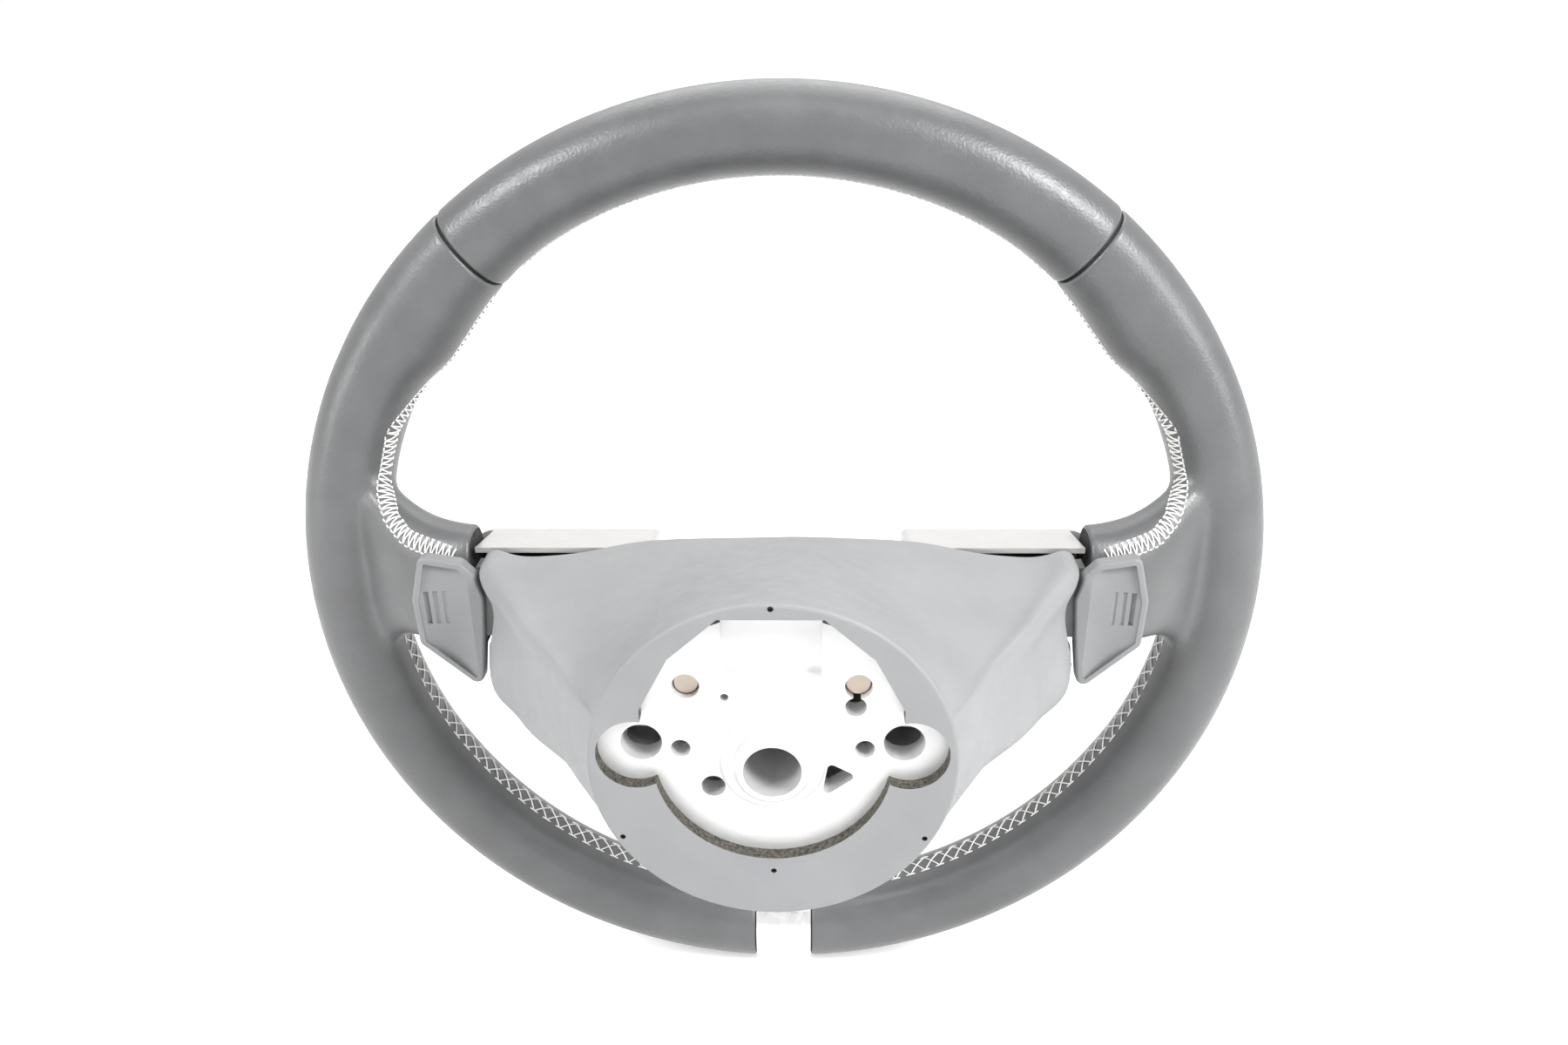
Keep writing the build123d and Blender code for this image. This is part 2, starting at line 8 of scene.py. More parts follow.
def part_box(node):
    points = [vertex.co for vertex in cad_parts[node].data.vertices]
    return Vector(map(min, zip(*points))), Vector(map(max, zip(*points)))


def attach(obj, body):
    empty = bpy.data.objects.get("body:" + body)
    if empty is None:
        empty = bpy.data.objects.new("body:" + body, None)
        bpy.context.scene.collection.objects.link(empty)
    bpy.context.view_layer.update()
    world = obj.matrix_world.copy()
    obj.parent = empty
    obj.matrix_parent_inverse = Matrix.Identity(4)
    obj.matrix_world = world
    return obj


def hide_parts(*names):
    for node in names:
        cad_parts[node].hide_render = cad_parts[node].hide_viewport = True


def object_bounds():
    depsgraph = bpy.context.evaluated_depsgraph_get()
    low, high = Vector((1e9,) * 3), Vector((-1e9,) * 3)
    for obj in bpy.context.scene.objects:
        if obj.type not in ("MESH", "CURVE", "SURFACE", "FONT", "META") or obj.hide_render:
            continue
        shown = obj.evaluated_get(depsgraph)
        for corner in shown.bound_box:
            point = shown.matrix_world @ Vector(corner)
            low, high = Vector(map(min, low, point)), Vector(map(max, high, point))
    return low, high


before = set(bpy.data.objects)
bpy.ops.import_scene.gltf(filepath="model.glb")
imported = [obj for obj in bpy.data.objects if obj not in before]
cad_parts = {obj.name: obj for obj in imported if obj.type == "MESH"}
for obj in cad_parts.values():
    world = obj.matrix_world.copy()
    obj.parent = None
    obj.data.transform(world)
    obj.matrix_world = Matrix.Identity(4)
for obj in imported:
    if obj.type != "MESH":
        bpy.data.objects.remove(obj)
cad_low, cad_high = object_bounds()

# A car steering wheel with a sewn leather rim, seen from behind and above.
# Metres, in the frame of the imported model: +X the driver's right, +Y towards the column.

# Camera, as a distance and angles round the middle of the rim
IMAGE_WIDTH = 1800
SENSOR_MM = 36.0
FOCAL_PIXELS = 1348.0
CAMERA_DISTANCE = 0.470
CAMERA_RISE = radians(26.5)
CAMERA_SIDE = -0.0108
CAMERA_ROLL = radians(-0.54)
CAMERA_SHIFT = (0.0018, 0.0417)
CAMERA_NEAR = 0.01

# Stage
FLOOR_Z = cad_low.z - 0.001
FLOOR_HALF = 60
FLOOR_GLOW = 0.42  # near the object; it grows to 1 over the reach
GLOW_REACH = (0.3, 1.6)
AMBIENT = 0.34
LIGHTS = [  # name, place, diameter, watts
    ("left_light", (0.66, 0.36, 0.68), 0.36, 6.5),
    ("right_light", (-0.66, 0.36, 0.68), 0.36, 10),
    ("low_left_light", (0.90, 0.30, 0.15), 0.36, 2),
    ("low_right_light", (-0.85, 0.35, 0.25), 0.36, 3),
    ("top_light", (0, 0.35, 1.10), 0.5, 1.2),
    ("edge_light", (0, -0.75, 0.95), 1.2, 6),
]

# Rim, as in the model
rim_low, rim_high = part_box("leather_top")
HUB_DEPTH = -(rim_low.y + rim_high.y) / 2  # from the plane of the rim to the origin
RIM_R = 0.1875
RIM_POWER = 2.2  # roundness of its section; 2 is an ellipse
GRIP_TOP = 0.030
GRIP_BOTTOM = 0.035
GRIP_DEPTH = 0.034
LEATHER = 0.0014
SEAM_ANGLE = 39.0
SEAM_GAP = 0.0010
THUMB_ANGLE = 51.0
THUMB_RISE = 0.0045
THUMB_ABOVE = 12.0  # degrees over which the thumb rest fades
THUMB_BELOW = 5.0
CLASP_HALF = 0.0125

# Roots of the side spokes, as in the model
ROOT_X = 0.112
ROOT_REACH = 0.050
ROOT_SET = 0.0275
ROOT_SET_POWER = 1.7
ROOT_DEPTH = 0.025
ROOT_BELLY = 0.002
ROOT_POWER = 3
SPOKE_LOW = -0.010
SPOKE_HIGH = 0.038
SPOKE_FLARE = 0.024
FLARE_LOW_POWER = 6
FLARE_HIGH_POWER = 2.5

# Leather mesh
FORM_EXTRA = 4  # degrees that a form runs on past its seam
FORM_END = 184
SIDE_STEP, SIDE_COUNT = 1.5, 56  # degrees between sections, points in each
TOP_STEP, TOP_COUNT = 0.5, 96
ROOT_SHARES = [k / 20 for k in range(-3, 22)]
ROOT_REGION_X = ROOT_X + 0.02
ROOT_REGION_Z = (-0.05, 0.08)
VOXEL = 0.0016
SMOOTHING = 0.5
EVEN_ROUNDS = 6
JUNCTION_ROUNDS = 60
JUNCTION_X = (0.120, 0.165)  # where the rim and the root are smoothed into each other
JUNCTION_X_FADE = (0.016, 0.014)
JUNCTION_Z = 0.012
JUNCTION_HALF = 0.095
JUNCTION_Z_FADE = 0.02
SKIN_SHARE = 0.9  # of the leather's thickness
LIP = 0.0016  # how far the leather rolls in at its ends
LIP_CUTS = (2, 1, 0.6, 0.3, 0.1)  # added edges, in lips from the end
LIP_ROLL = 0.8

# Thread
INNER = pi  # the inner side of the rim, as a turn round its section
THREAD = 0.00030
THREAD_SIDES = 7
STITCH_STEPS = 6
STITCH_POWER = 0.6
STITCH_SINK = 0.6  # this and the lifts are in radii of the thread
EDGE_LIFT = 0.6
LACE_LIFT = 1.1
EDGE_SHARE = 0.3  # half of an edge stitch, as a share of the pitch
NET_PITCH = 0.0070
NET_HALF = 0.0042
NET_ANGLES = range(98, 176, 3)
ZIGZAG_PITCH = 0.0025
ZIGZAG_HALF = 0.0031
UPPER_ANGLES = range(41, 58, 4)
TOP_ANGLES = range(-37, 38, 2)
UPPER_SEAM = [  # x, depth behind the middle of the rim, z
    (0.1418, 0.0084, 0.0702),
    (0.1448, 0.0084, 0.0635),
    (0.1473, 0.0081, 0.0565),
    (0.1484, 0.0092, 0.0516),
    (0.1478, 0.0130, 0.0482),
    (0.1455, 0.0194, 0.0446),
    (0.1433, 0.0242, 0.0411),
    (0.1401, 0.0274, 0.0383),
    (0.1367, 0.0303, 0.0358),
    (0.1316, 0.0329, 0.0345),
    (0.1270, 0.0348, 0.0337),
    (0.1192, 0.0376, 0.0318),
    (0.1125, 0.0385, 0.0302),
]

# Opening of the rear cover, whose steep walls get painted shade
OPENING_REACH = 0.0555  # from the axis to its far ends
OPENING_DEPTH = 0.007
OPENING_TILT = 0.3  # walls steeper than this belong to its edge

NOISE_RANGE = (0.3, 0.7)  # where most of a noise lies


def bend(value, power):
    """A signed power, for rounded sections."""
    return abs(value) ** (2 / power) * (1 if value >= 0 else -1)


def ease(value):
    share = min(max(value, 0.0), 1.0)
    return share * share * (3 - 2 * share)


# Materials


def node(tree, kind, **inputs):
    made = tree.nodes.new(kind)
    for name, value in inputs.items():
        made.inputs[name.replace("_", " ")].default_value = value
    return made


def new_material(name, roughness, metallic=0.0, specular=0.5):
    made = bpy.data.materials.new(name)
    made.use_nodes = True
    shader = made.node_tree.nodes["Principled BSDF"]
    shader.inputs["Roughness"].default_value = roughness
    shader.inputs["Metallic"].default_value = metallic
    shader.inputs["Specular IOR Level"].default_value = specular
    return made, made.node_tree, shader


def noise(tree, scale, detail=3.0):
    place = tree.nodes.new("ShaderNodeTexCoord")
    made = node(tree, "ShaderNodeTexNoise", Scale=scale, Detail=detail)
    tree.links.new(place.outputs["Object"], made.inputs["Vector"])
    return made.outputs["Fac"]


def cells(tree, scale):
    place = tree.nodes.new("ShaderNodeTexCoord")
    made = node(tree, "ShaderNodeTexVoronoi", Scale=scale)
    made.feature = "SMOOTH_F1"
    tree.links.new(place.outputs["Object"], made.inputs["Vector"])
    return made.outputs["Distance"]


def spread(tree, source, source_range, low, high):
    """The source, stretched from its range to low..high."""
    first, last = source_range
    made = node(
        tree, "ShaderNodeMapRange", From_Min=first, From_Max=last, To_Min=low, To_Max=high
    )
    tree.links.new(source, made.inputs["Value"])
    return made.outputs["Result"]


def vary_colour(tree, shader, source, dark, light):
    ramp = tree.nodes.new("ShaderNodeValToRGB")
    stops = ramp.color_ramp.elements
    for stop, position, colour in zip(stops, NOISE_RANGE, (dark, light)):
        stop.position = position
        stop.color = (*colour, 1)
    tree.links.new(source, ramp.inputs["Fac"])
    tree.links.new(ramp.outputs["Color"], shader.inputs["Base Color"])


def vary_roughness(tree, shader, source, low, high):
    varied = spread(tree, source, NOISE_RANGE, low, high)
    tree.links.new(varied, shader.inputs["Roughness"])


def bump(tree, shader, source, strength, distance):
    made = node(tree, "ShaderNodeBump", Strength=strength, Distance=distance)
    tree.links.new(source, made.inputs["Height"])
    before = shader.inputs["Normal"]
    if before.is_linked:
        tree.links.new(before.links[0].from_socket, made.inputs["Normal"])
    tree.links.new(made.outputs["Normal"], before)


def shade(level, warm=0.0):
    """A near grey, a little warm or cool."""
    return (level * (1 + warm), level, level * (1 - warm))


def leather_material():
    made, tree, shader = new_material("smooth_leather", 0.38, specular=0.65)
    dark, light = shade(0.098, -0.02), shade(0.120, -0.02)
    vary_colour(tree, shader, noise(tree, 60, detail=5), dark, light)
    vary_roughness(tree, shader, noise(tree, 240), 0.33, 0.43)
    bump(tree, shader, cells(tree, 1100), strength=0.22, distance=0.0004)
    bump(tree, shader, noise(tree, 420, detail=4), strength=0.12, distance=0.0005)
    return made


def moulded_material(name, level, grain, roughness, warm=-0.015):
    """Plastic from a grained mould."""
    made, tree, shader = new_material(name, roughness, specular=0.4)
    dark, light = shade(level * 0.95, warm), shade(level * 1.05, warm)
    vary_colour(tree, shader, noise(tree, 35, detail=4), dark, light)
    vary_roughness(tree, shader, noise(tree, 180), roughness - 0.06, roughness + 0.06)
    bump(tree, shader, noise(tree, grain, detail=2), strength=0.16, distance=0.0003)
    return made


def metal_material(name, level, roughness, grain, depth, warm=0.0, metallic=1.0):
    made, tree, shader = new_material(name, roughness, metallic=metallic)
    dark, light = shade(level * 0.95, warm), shade(level, warm)
    vary_colour(tree, shader, noise(tree, 90, detail=4), dark, light)
    vary_roughness(tree, shader, noise(tree, 300), roughness - 0.06, roughness + 0.08)
    bump(tree, shader, noise(tree, grain, detail=3), strength=0.2, distance=depth)
    return made


def painted_shade_lip_material():
    """Painted shade for the wall of the cover's opening, dark and uneven."""
    made, tree, shader = new_material("painted_shade_lip", 0.7, specular=0.25)
    # dark colours that paint the shade in the gap round the hub plate
    dark, light = (0.018, 0.016, 0.013), (0.125, 0.118, 0.10)
    vary_colour(tree, shader, noise(tree, 900, detail=4), dark, light)
    bump(tree, shader, noise(tree, 1300, detail=3), strength=0.4, distance=0.0004)
    return made


def thread_material():
    made, tree, shader = new_material("waxed_thread", 0.55)
    dark, light = (0.86, 0.85, 0.82), (0.95, 0.94, 0.92)
    vary_colour(tree, shader, noise(tree, 500), dark, light)
    bump(tree, shader, noise(tree, 2600, detail=2), strength=0.4, distance=0.0002)
    shader.inputs["Sheen Weight"].default_value = 0.3
    return made


def foam_material():
    made, tree, shader = new_material("moulded_foam", 0.9, specular=0.2)
    vary_colour(tree, shader, noise(tree, 400), shade(0.035), shade(0.055))
    bump(tree, shader, cells(tree, 900), strength=0.5, distance=0.0006)
    return made


def cloth_material():
    made, tree, shader = new_material("woven_bag", 0.85, specular=0.2)
    vary_colour(tree, shader, noise(tree, 700), shade(0.62, 0.02), shade(0.72, 0.02))
    bump(tree, shader, cells(tree, 1400), strength=0.5, distance=0.0004)
    return made


leather = leather_material()
thread = thread_material()
# level, grain, roughness
cover_plastic = moulded_material("grained_cover", 0.30, 1500, 0.5)
paddle_plastic = moulded_material("paddle_plastic", 0.25, 1900, 0.42)
pad_plastic = moulded_material("pad_plastic", 0.17, 1300, 0.5)
key_plastic = moulded_material("key_plastic", 0.10, 2200, 0.38)
housing_plastic = moulded_material("housing_plastic", 0.06, 1500, 0.5)
bush_plastic = moulded_material("bush_plastic", 0.55, 1500, 0.45, warm=0.03)
# level, roughness, grain, depth of the grain
satin_trim = metal_material("satin_trim", 0.80, 0.3, 900, 0.0001)
pearl_trim = metal_material(
    "pearl_trim", 0.64, 0.34, 900, 0.0001, warm=0.02, metallic=0.6
)
cast_metal = metal_material("cast_metal", 0.78, 0.45, 420, 0.0004, metallic=0.4)
turned_metal = metal_material("turned_metal", 0.72, 0.38, 900, 0.0002, metallic=0.4)
steel = metal_material("zinc_steel", 0.66, 0.34, 800, 0.0002)
spring_steel = metal_material("spring_steel", 0.5, 0.3, 900, 0.0001)
copper = metal_material(
    "copper_alloy", 0.42, 0.4, 900, 0.0001, warm=0.16, metallic=0.7
)
# painted shade for the wall of the cover's opening
painted_shade_lip = painted_shade_lip_material()

finishes = {
    "armature": cast_metal,
    "rim_core": steel,
    "hub_bush": turned_metal,
    "rim_foam": foam_material(),
    "rim_clasp": satin_trim,
    "lower_trim": satin_trim,
    "rear_cover": cover_plastic,
    "cover_screws": steel,
    "pad_cover": pad_plastic,
    "module_plate": steel,
    "inflator": steel,
    "airbag_cushion": cloth_material(),
    "guide_bolts": copper,
    "guide_bushes": bush_plastic,
    "horn_contacts": copper,
    "horn_springs": spring_steel,
}
side_finishes = {
    "spoke_trim": pearl_trim,
    "switch_housing": housing_plastic,
    "key_inner": key_plastic,
    "key_outer": key_plastic,
    "rocker": key_plastic,
    "rocker_pin": steel,
    "paddle": paddle_plastic,
    "paddle_bracket": steel,
    "paddle_pin": steel,
    "paddle_spring": spring_steel,
    "paddle_switch": housing_plastic,
}
for name, finish in side_finishes.items():
    finishes[name + "_left"] = finish
    finishes[name + "_right"] = finish
for name, finish in finishes.items():
    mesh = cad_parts[name].data
    mesh.materials.clear()
    mesh.materials.append(finish)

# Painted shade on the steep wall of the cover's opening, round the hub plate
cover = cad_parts["rear_cover"]
cover.data.materials.append(painted_shade_lip)
for polygon in cover.data.polygons:
    place = cover.matrix_world @ polygon.center
    near_hub = place.x**2 + place.z**2 < OPENING_REACH**2 and place.y > -OPENING_DEPTH
    if near_hub and abs(polygon.normal.y) < OPENING_TILT:
        # this wall takes the second slot, the painted shade
        polygon.material_index = 1


# Leather


def grip(angle):
    """Half of the rim's thickness, at an angle from the top."""
    low = (1 - cos(radians(angle))) / 2
    return (GRIP_TOP + (GRIP_BOTTOM - GRIP_TOP) * low) / 2


def thumb(angle):
    away = abs(angle) - THUMB_ANGLE
    fade = THUMB_ABOVE if away < 0 else THUMB_BELOW
    return THUMB_RISE * exp(-((away / fade) ** 2))


def rim_point(angle, turn):
    """A point on the rim: angle from the top in degrees, turn round its section in radians."""
    u = bend(cos(turn), RIM_POWER)
    v = bend(sin(turn), RIM_POWER)
    half = grip(angle)
    radius = RIM_R - half + (half + (thumb(angle) if u < 0 else 0)) * u
    side = radians(angle)
    return Vector((radius * sin(side), GRIP_DEPTH / 2 * v - HUB_DEPTH, radius * cos(side)))


def root_point(t, turn):
    """A point on the root of the right spoke: t from its inner end to the rim."""
    flare = max(t, 0)
    low = SPOKE_LOW - SPOKE_FLARE * flare**FLARE_LOW_POWER
    high = SPOKE_HIGH + SPOKE_FLARE * flare**FLARE_HIGH_POWER
    middle = (low + high) / 2
    half = ROOT_DEPTH / 2 + ROOT_BELLY * sin(pi * flare)
    depth = ROOT_SET * (1 - flare**ROOT_SET_POWER) + half * bend(cos(turn), ROOT_POWER)
    height = middle + (high - middle) * bend(sin(turn), ROOT_POWER)
    return Vector((ROOT_X + t * ROOT_REACH, depth - HUB_DEPTH, height))


def tube(bm, sections):
    """Quads over rings of points, with the ends filled."""
    rings = [[bm.verts.new(p) for p in section] for section in sections]
    count = len(rings[0])
    for first, second in zip(rings, rings[1:]):
        for k in range(count):
            n = (k + 1) % count
            bm.faces.new((first[k], first[n], second[n], second[k]))
    bm.faces.new(rings[0])
    bm.faces.new(rings[-1])


def turns(count):
    return [2 * pi * k / count for k in range(count)]


def rim_sections(first, last, step, count):
    steps = round((last - first) / step)
    angles = [first + (last - first) * k / steps for k in range(steps + 1)]
    return [[rim_point(angle, turn) for turn in turns(count)] for angle in angles]


def made_object(name, bm):
    mesh = bpy.data.meshes.new(name)
    bm.to_mesh(mesh)
    bm.free()
    made = bpy.data.objects.new(name, mesh)
    bpy.context.scene.collection.objects.link(made)
    return made


def applied(obj):
    """The object's mesh with its modifiers in it."""
    graph = bpy.context.evaluated_depsgraph_get()
    mesh = bpy.data.meshes.new_from_object(obj.evaluated_get(graph))
    obj.modifiers.clear()
    old = obj.data
    obj.data = mesh
    bpy.data.meshes.remove(old)
    return obj


def shade_smooth(obj):
    polygons = obj.data.polygons
    polygons.foreach_set("use_smooth", [True] * len(polygons))


def near_junction(p):
    """How far a point belongs to where the rim and the right root meet, from 0 to 1."""
    inner = ease((p.x - JUNCTION_X[0]) / JUNCTION_X_FADE[0])
    outer = ease((JUNCTION_X[1] - p.x) / JUNCTION_X_FADE[1])
    level = ease((JUNCTION_HALF - abs(p.z - JUNCTION_Z)) / JUNCTION_Z_FADE)
    return inner * outer * level


def side_form():
    """The right leather panel, rim and spoke root in one smooth skin."""
    bm = bmesh.new()
    tube(bm, rim_sections(SEAM_ANGLE - FORM_EXTRA, FORM_END, SIDE_STEP, SIDE_COUNT))
    tube(bm, [[root_point(t, turn) for turn in turns(SIDE_COUNT)] for t in ROOT_SHARES])
    bmesh.ops.recalc_face_normals(bm, faces=bm.faces)
    made = made_object("leather_form", bm)
    remesh = made.modifiers.new("remesh", "REMESH")
    remesh.mode = "VOXEL"
    remesh.voxel_size = VOXEL
    applied(made)
    group = made.vertex_groups.new(name="junction")
    for vertex in made.data.vertices:
        group.add([vertex.index], near_junction(vertex.co), "REPLACE")
    blend_in = made.modifiers.new("junction", "SMOOTH")
    blend_in.factor = SMOOTHING
    blend_in.iterations = JUNCTION_ROUNDS
    blend_in.vertex_group = "junction"
    even = made.modifiers.new("even", "SMOOTH")
    even.factor = SMOOTHING
    even.iterations = EVEN_ROUNDS
    return applied(made)


def top_form():
    reach = SEAM_ANGLE + FORM_EXTRA
    bm = bmesh.new()
    tube(bm, rim_sections(-reach, reach, TOP_STEP, TOP_COUNT))
    bmesh.ops.recalc_face_normals(bm, faces=bm.faces)
    return made_object("leather_form", bm)


def everywhere(point):
    return True


def near_root(point):
    low, high = ROOT_REGION_Z
    return point.x < ROOT_REGION_X and low < point.z < high


def within(bm, region):
    """What lies wholly in a region, for a cut."""
    verts = [v for v in bm.verts if region(v.co)]
    edges = [e for e in bm.edges if all(region(v.co) for v in e.verts)]
    faces = [f for f in bm.faces if all(region(v.co) for v in f.verts)]
    return verts + edges + faces


def trimmed(bm, place, outward, region):
    """Cuts off what lies beyond a plane, and rolls the new edge in."""
    for share in LIP_CUTS:
        behind = place - outward * (share * LIP)
        bmesh.ops.bisect_plane(
            bm, geom=within(bm, region), plane_co=behind, plane_no=outward
        )
    bmesh.ops.bisect_plane(
        bm, geom=within(bm, region), plane_co=place, plane_no=outward, clear_outer=True
    )
    bm.normal_update()
    for vertex in bm.verts:
        inside = (place - vertex.co).dot(outward)
        if inside < LIP and region(vertex.co):
            normal = vertex.normal - outward * vertex.normal.dot(outward)
            sink = LIP - (LIP**2 - (LIP - max(inside, 0)) ** 2) ** 0.5
            vertex.co -= normal.normalized() * sink * LIP_ROLL


def panel(name, form, cuts):
    """A leather panel: the form cut at its ends, with the thickness of the leather."""
    bm = bmesh.new()
    bm.from_mesh(form.data)
    for (place, outward), region in cuts:
        trimmed(bm, place, outward, region)
    bmesh.ops.recalc_face_normals(bm, faces=bm.faces)
    made = made_object(name, bm)
    thick = made.modifiers.new("thickness", "SOLIDIFY")
    thick.thickness = LEATHER * SKIN_SHARE
    thick.offset = -1
    applied(made)
    shade_smooth(made)
    made.data.materials.append(leather)
    return made


def seam_cut(angle, side):
    """The plane of the seam; side is +1 where the panel lies below the seam."""
    turn = radians(angle)
    along = Vector((cos(turn), 0, -sin(turn))) * (1 if angle > 0 else -1)
    middle = Vector((sin(turn), 0, cos(turn))) * RIM_R
    return middle + along * side * SEAM_GAP / 2, -along * side


def cut_at_x(x):
    """A plane that takes off what lies nearer the middle than x."""
    return Vector((x, 0, 0)), Vector((-1, 0, 0))


def mirrored(obj, name):
    bm = bmesh.new()
    bm.from_mesh(obj.data)
    bmesh.ops.scale(bm, vec=(-1, 1, 1), verts=bm.verts)
    bmesh.ops.reverse_faces(bm, faces=bm.faces)
    made = made_object(name, bm)
    for finish in obj.data.materials:
        made.data.materials.append(finish)
    return made


right_form = side_form()
centre_form = top_form()
right_cuts = [
    (seam_cut(SEAM_ANGLE, 1), everywhere),
    (cut_at_x(CLASP_HALF), everywhere),
    (cut_at_x(ROOT_X), near_root),
]
top_cuts = [
    (seam_cut(SEAM_ANGLE, -1), everywhere),
    (seam_cut(-SEAM_ANGLE, -1), everywhere),
]
leather_right = panel("leather_right_skin", right_form, right_cuts)
leather_left = mirrored(leather_right, "leather_left_skin")
leather_top = panel("leather_top_skin", centre_form, top_cuts)
panels = [
    (leather_right, "leather_right", "leather_grip"),
    (leather_left, "leather_left", "leather_grip"),
    (leather_top, "leather_top", "leather_smooth"),
]
for skin, name, slot in panels:
    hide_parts(name)
    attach(skin, "wheel")


# Stitching


def surface_of(obj):
    bm = bmesh.new()
    bm.from_mesh(obj.data)
    tree = BVHTree.FromBMesh(bm)
    bm.free()
    return tree


def even_points(guide, pitch):
    """Points along a polyline, a pitch apart."""
    points = [guide[0]]
    left = pitch
    for first, second in zip(guide, guide[1:]):
        run = second - first
        start = 0.0
        while run.length - start >= left:
            start += left
            points.append(first + run.normalized() * start)
            left = pitch
        left -= run.length - start
    return points


def smooth_path(points, steps=14):
    """A curve through the points."""
    path = []
    ends = [2 * points[0] - points[1]] + points + [2 * points[-1] - points[-2]]
    for a, b, c, d in zip(ends, ends[1:], ends[2:], ends[3:]):
        for k in range(steps):
            t = k / steps
            square = (2 * a - 5 * b + 4 * c - d) * t**2
            cube = (3 * b - a - 3 * c + d) * t**3
            path.append(0.5 * (2 * b + (c - a) * t + square + cube))
    return path + [points[-1]]


def stitch(bm, surface, start, end, lift):
    """One run of thread over the leather, sunk at both ends."""
    sections = []
    along = (end - start).normalized()
    for k in range(STITCH_STEPS + 1):
        share = k / STITCH_STEPS
        rise = sin(pi * share)
        height = THREAD * lift * rise**STITCH_POWER - THREAD * STITCH_SINK * (1 - rise)
        place, normal, _, _ = surface.find_nearest(start.lerp(end, share))
        centre = place + normal * height
        side = normal.cross(along).normalized()
        sections.append(
            [centre + (side * cos(a) + normal * sin(a)) * THREAD for a in turns(THREAD_SIDES)]
        )
    tube(bm, sections)


def seam_frames(surface, guide, pitch):
    """Places along the seam on the leather, each with its direction across."""
    points = even_points(guide, pitch)
    frames = []
    for before, after in zip(points, points[1:]):
        place, normal, _, _ = surface.find_nearest(before)
        frames.append((place, normal.cross(after - before).normalized()))
    return frames


def edge_stitches(bm, surface, frames, half):
    """The sewn edge of each side, which the lacing hooks into."""
    for (first, across), (second, _) in zip(frames, frames[1:]):
        reach = (second - first) * EDGE_SHARE
        for side in (-half, half):
            middle = first + across * side
            stitch(bm, surface, middle - reach, middle + reach, EDGE_LIFT)


def net(bm, surface, guide):
    frames = seam_frames(surface, guide, NET_PITCH)
    edge_stitches(bm, surface, frames, NET_HALF)
    for (first, across), (second, next_across) in zip(frames, frames[1:]):
        for side in (-NET_HALF, NET_HALF):
            start = first + across * side
            stitch(bm, surface, start, second - next_across * side, LACE_LIFT)


def zigzag(bm, surface, guide):
    frames = seam_frames(surface, guide, ZIGZAG_PITCH)
    edge_stitches(bm, surface, frames, ZIGZAG_HALF)
    for (first, across), (second, next_across) in zip(frames, frames[1:]):
        near = first + across * ZIGZAG_HALF
        far = (first + second) / 2 - across * ZIGZAG_HALF
        stitch(bm, surface, near, far, LACE_LIFT)
        stitch(bm, surface, far, second + next_across * ZIGZAG_HALF, LACE_LIFT)


def threads(name, bm):
    bmesh.ops.recalc_face_normals(bm, faces=bm.faces)
    made = made_object(name, bm)
    shade_smooth(made)
    made.data.materials.append(thread)
    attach(made, "wheel")
    return made


def inner_guide(angles):
    """Points along the inner side of the rim."""
    return [rim_point(angle, INNER) for angle in angles]


upper_guide = inner_guide(UPPER_ANGLES)
upper_guide += [Vector((x, depth - HUB_DEPTH, z)) for x, depth, z in UPPER_SEAM]

right_surface = surface_of(leather_right)
right_threads = bmesh.new()
zigzag(right_threads, right_surface, smooth_path(upper_guide))
net(right_threads, right_surface, smooth_path(inner_guide(NET_ANGLES)))
stitching_right = threads("stitching_right", right_threads)
stitching_left = mirrored(stitching_right, "stitching_left")
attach(stitching_left, "wheel")

top_threads = bmesh.new()
zigzag(top_threads, surface_of(leather_top), smooth_path(inner_guide(TOP_ANGLES)))
threads("stitching_top", top_threads)
for form in (right_form, centre_form):
    bpy.data.objects.remove(form)


# Stage, light and camera


def seen_only(tree, level):
    """A glow that only the camera, mirrors and glass see."""
    path = tree.nodes.new("ShaderNodeLightPath")
    total = path.outputs["Is Camera Ray"]
    for kind in ("Is Glossy Ray", "Is Transmission Ray"):
        either = tree.nodes.new("ShaderNodeMath")
        either.operation = "MAXIMUM"
        tree.links.new(total, either.inputs[0])
        tree.links.new(path.outputs[kind], either.inputs[1])
        total = either.outputs["Value"]
    scaled = tree.nodes.new("ShaderNodeMath")
    scaled.operation = "MULTIPLY"
    tree.links.new(total, scaled.inputs[0])
    tree.links.new(level, scaled.inputs[1])
    return scaled.outputs["Value"]


def floor_material():
    """Pale, with a glow that grows away from the object, where the lamps no longer reach."""
    made, tree, shader = new_material("pale_floor", 0.8, specular=0.0)
    vary_colour(tree, shader, noise(tree, 3), (0.90, 0.90, 0.90), (0.92, 0.92, 0.92))
    place = tree.nodes.new("ShaderNodeTexCoord")
    away = tree.nodes.new("ShaderNodeVectorMath")
    away.operation = "LENGTH"
    tree.links.new(place.outputs["Object"], away.inputs[0])
    glow = spread(tree, away.outputs["Value"], GLOW_REACH, FLOOR_GLOW, 1.0)
    tree.links.new(seen_only(tree, glow), shader.inputs["Emission Strength"])
    shader.inputs["Emission Color"].default_value = (1, 1, 1, 1)
    return made


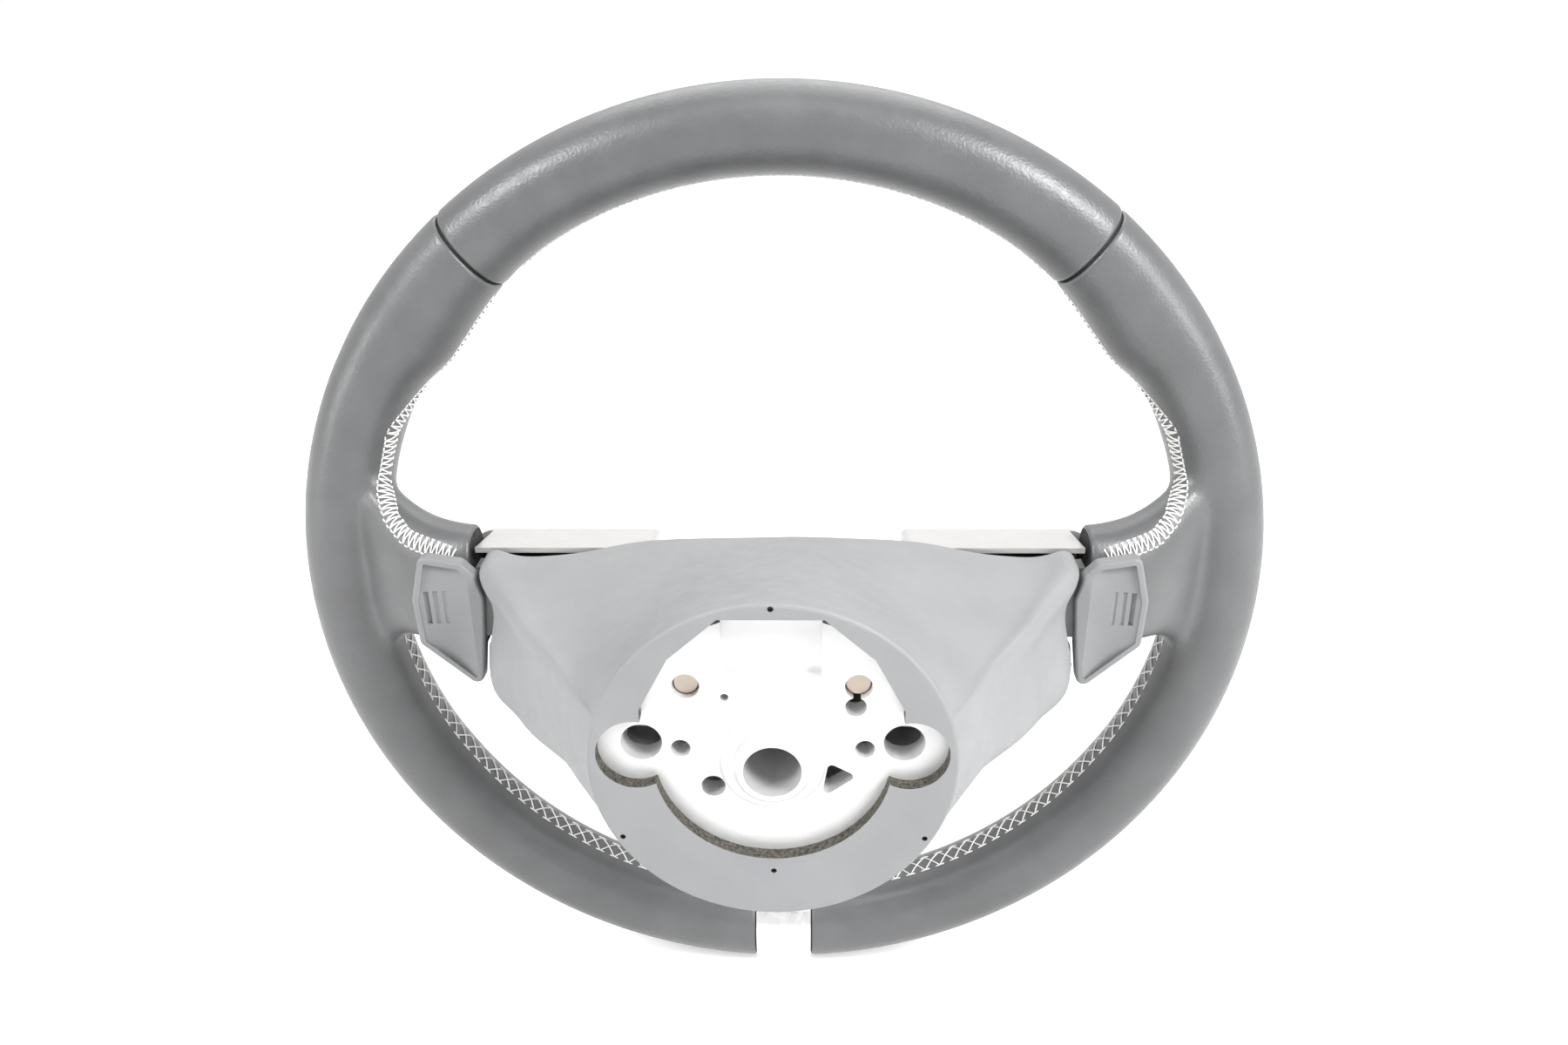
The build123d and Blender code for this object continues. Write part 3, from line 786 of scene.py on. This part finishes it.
def add_floor():
    bm = bmesh.new()
    bmesh.ops.create_grid(bm, x_segments=1, y_segments=1, size=FLOOR_HALF)
    bmesh.ops.translate(bm, verts=bm.verts, vec=(0, 0, FLOOR_Z))
    made = made_object("floor", bm)
    made.data.materials.append(floor_material())


def add_world():
    world = bpy.data.worlds.new("studio")
    bpy.context.scene.world = world
    world.use_nodes = True
    tree = world.node_tree
    background = tree.nodes["Background"]
    background.inputs["Color"].default_value = (1, 1, 1, 1)
    rest = tree.nodes.new("ShaderNodeValue")
    rest.outputs["Value"].default_value = 1 - AMBIENT
    lift = tree.nodes.new("ShaderNodeMath")
    lift.operation = "ADD"
    lift.inputs[1].default_value = AMBIENT
    tree.links.new(seen_only(tree, rest.outputs["Value"]), lift.inputs[0])
    tree.links.new(lift.outputs["Value"], background.inputs["Strength"])


def add_light(name, place, size, power):
    lamp = bpy.data.lights.new(name, "AREA")
    lamp.shape = "DISK"
    lamp.size = size
    lamp.energy = power
    made = bpy.data.objects.new(name, lamp)
    made.location = place
    aim = Vector((0, -HUB_DEPTH, 0)) - Vector(place)
    made.rotation_mode = "QUATERNION"
    made.rotation_quaternion = aim.to_track_quat("-Z", "Y")
    bpy.context.scene.collection.objects.link(made)


def add_camera():
    middle = Vector((0, -HUB_DEPTH, 0))
    along, up = cos(CAMERA_RISE), sin(CAMERA_RISE)
    back = Vector((CAMERA_SIDE, along * CAMERA_DISTANCE, up * CAMERA_DISTANCE))
    lens = bpy.data.cameras.new("camera")
    lens.sensor_width = SENSOR_MM
    lens.lens = FOCAL_PIXELS / IMAGE_WIDTH * SENSOR_MM
    lens.shift_x, lens.shift_y = CAMERA_SHIFT
    lens.clip_start = CAMERA_NEAR
    made = bpy.data.objects.new("camera", lens)
    turn = (-back).to_track_quat("-Z", "Y").to_matrix().to_4x4()
    roll = Matrix.Rotation(CAMERA_ROLL, 4, "Z")
    made.matrix_world = Matrix.Translation(middle + back) @ turn @ roll
    bpy.context.scene.collection.objects.link(made)
    bpy.context.scene.camera = made


add_floor()
add_world()
for light in LIGHTS:
    add_light(*light)
add_camera()
bpy.context.scene.view_settings.view_transform = "Standard"
